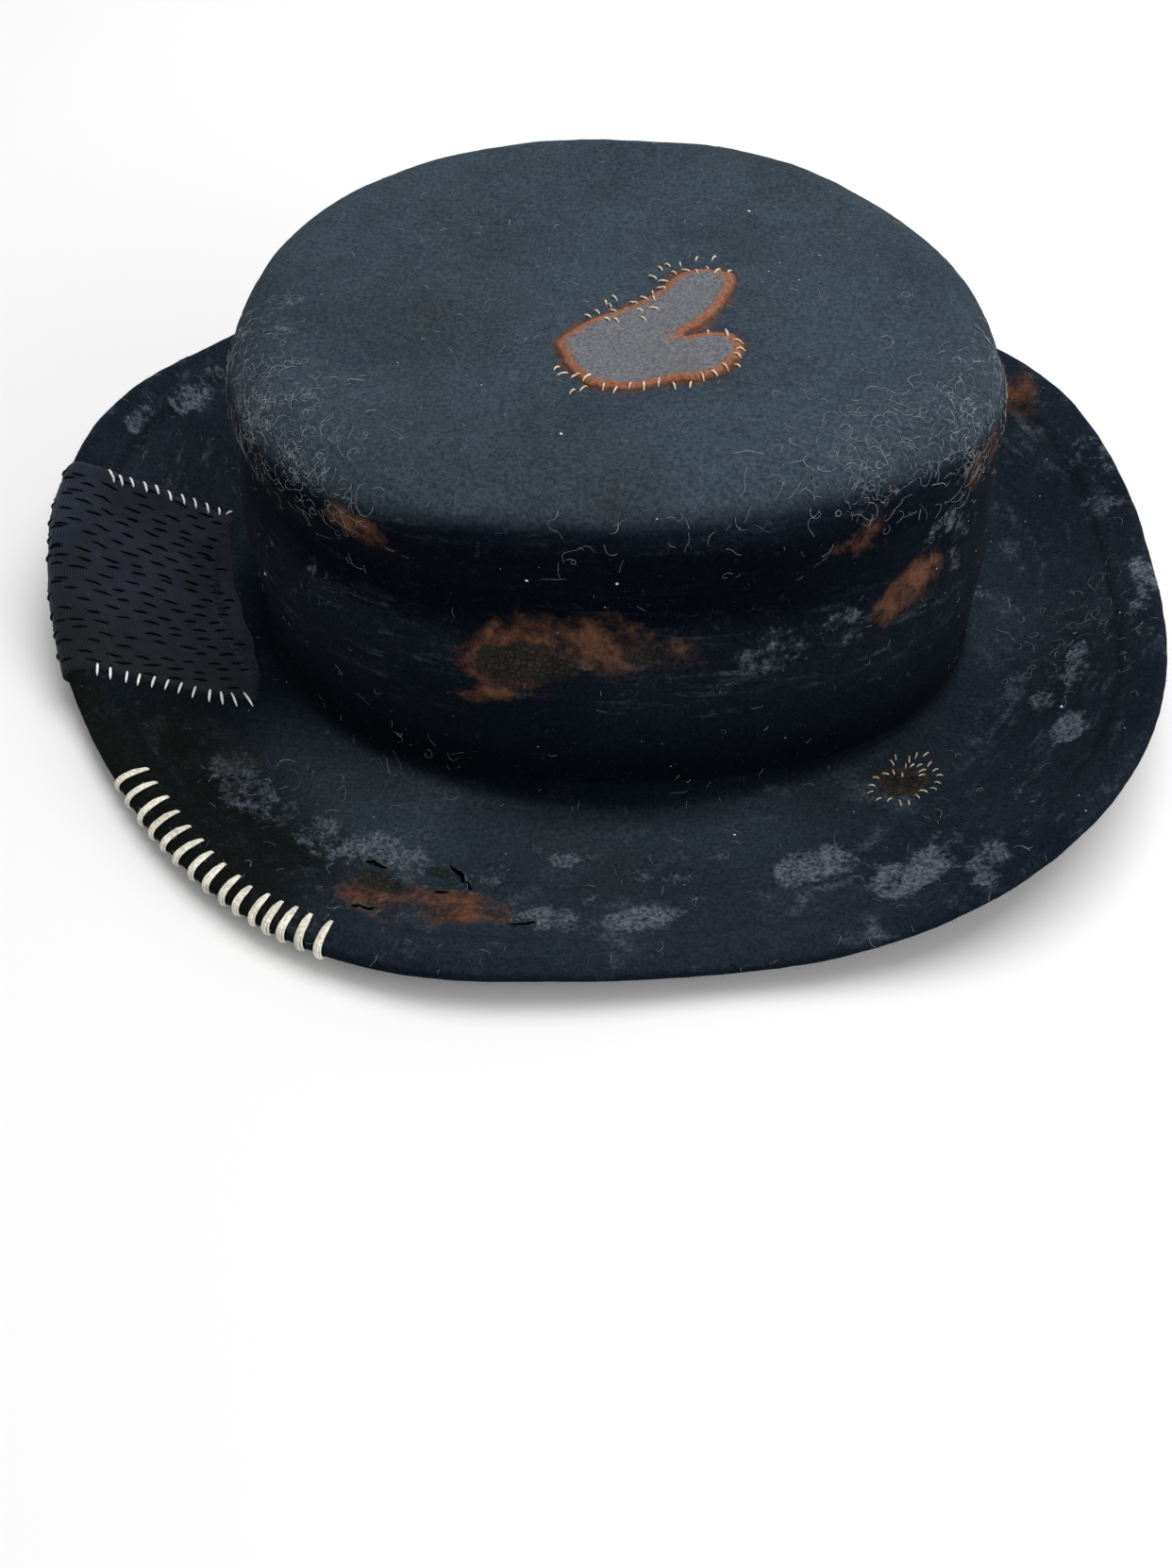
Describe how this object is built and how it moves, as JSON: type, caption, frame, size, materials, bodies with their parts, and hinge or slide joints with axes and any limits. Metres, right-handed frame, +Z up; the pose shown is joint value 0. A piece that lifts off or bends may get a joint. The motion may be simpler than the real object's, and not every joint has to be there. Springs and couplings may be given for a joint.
{
  "type": "felt hat",
  "caption": "Wide-brimmed felt hat with a low flat-topped oval crown, upturned brim, hand-stitched patches, a darn and thick lacing over the brim edge.",
  "frame": {"origin": "middle of the hat's plan on the plane that the flat underside round the head opening rests on", "axes": "+Z up through the crown, X along the length of the head oval with the wearer's front at -X, Y across"},
  "size_m": [0.3208, 0.3224, 0.1043],
  "materials": {
    "felt": "worn midnight-blue wool or fur felt, matte with grey abrasion and rust-brown scorch marks",
    "heart_felt": "worn grey felt, rubbed, rust-brown at its edge",
    "darn_wool": "rust-brown wool darn",
    "navy_cloth": "dark navy plain-weave cloth",
    "tan_thread": "tan cotton thread",
    "white_thread": "off-white cotton thread",
    "black_thread": "black cotton thread",
    "cream_yarn": "thick cream stranded yarn",
    "sweat_leather": "brown roan leather, satin",
    "ribbon": "black grosgrain ribbon",
    "satin": "dark satin, soft sheen"
  },
  "bodies": {
    "root": {"felt_body": "felt", "sweatband": "sweat_leather", "sweatband_reed": "ribbon", "sweatband_bow": "ribbon", "lining_side": "satin", "lining_tip": "satin", "heart_patch": "heart_felt", "heart_thread": "tan_thread", "darn_patch": "darn_wool", "darn_thread": "tan_thread", "side_patch": "navy_cloth", "side_patch_thread_rear": "white_thread", "side_patch_thread_front": "white_thread", "side_patch_quilting_thread": "black_thread", "edge_lacing": "cream_yarn"}
  },
  "joints": []
}
